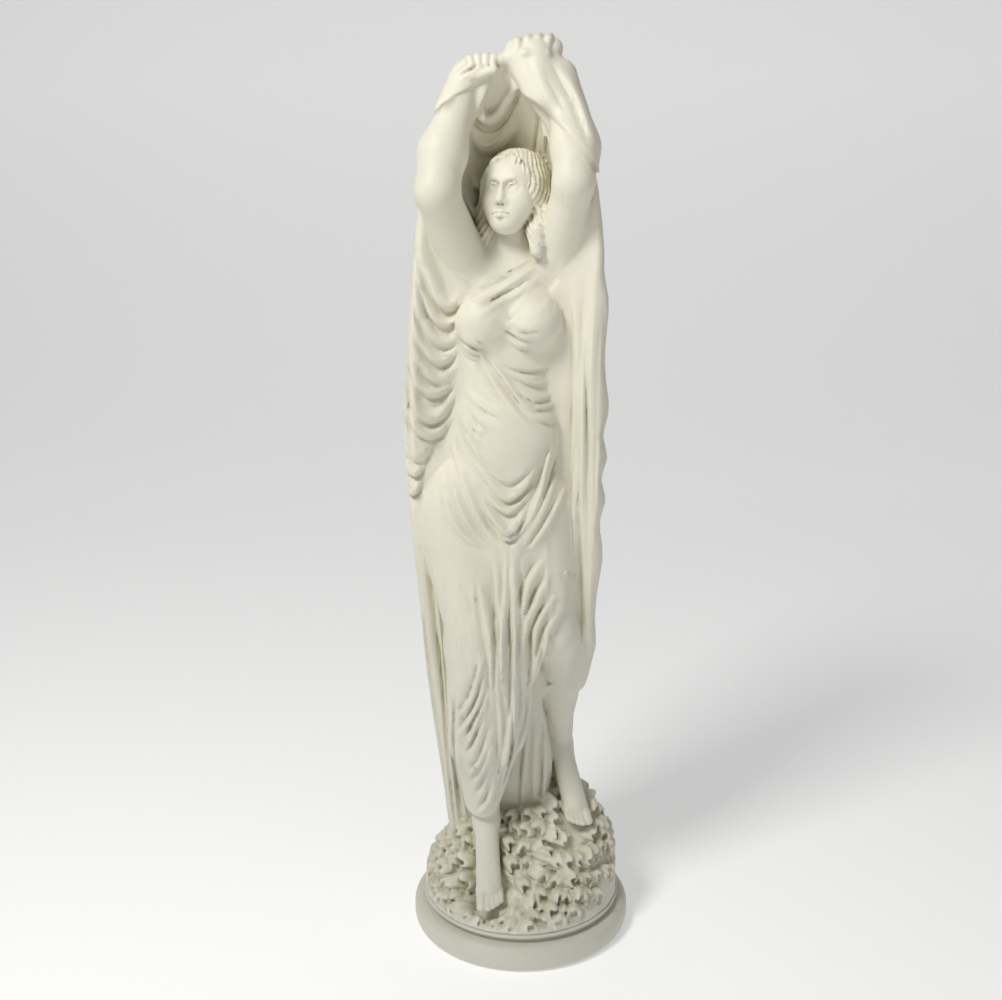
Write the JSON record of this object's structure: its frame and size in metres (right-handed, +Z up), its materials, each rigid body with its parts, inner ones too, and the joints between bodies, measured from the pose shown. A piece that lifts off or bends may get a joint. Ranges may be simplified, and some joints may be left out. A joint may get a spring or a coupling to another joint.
{
  "type": "classical marble statue",
  "caption": "Standing draped female figure in marble who lifts a long veil overhead with both hands, on a wave-carved mound and a round moulded plinth.",
  "frame": {"origin": "centre of the plinth's underside", "axes": "+Z up; the figure faces -Y; +X is the figure's left"},
  "size_m": [0.4816, 0.4816, 1.8944],
  "materials": {
    "figure_marble": "satin",
    "plinth_marble": "satin"
  },
  "bodies": {
    "root": {"plinth": "plinth_marble", "figure": "figure_marble"}
  },
  "joints": []
}
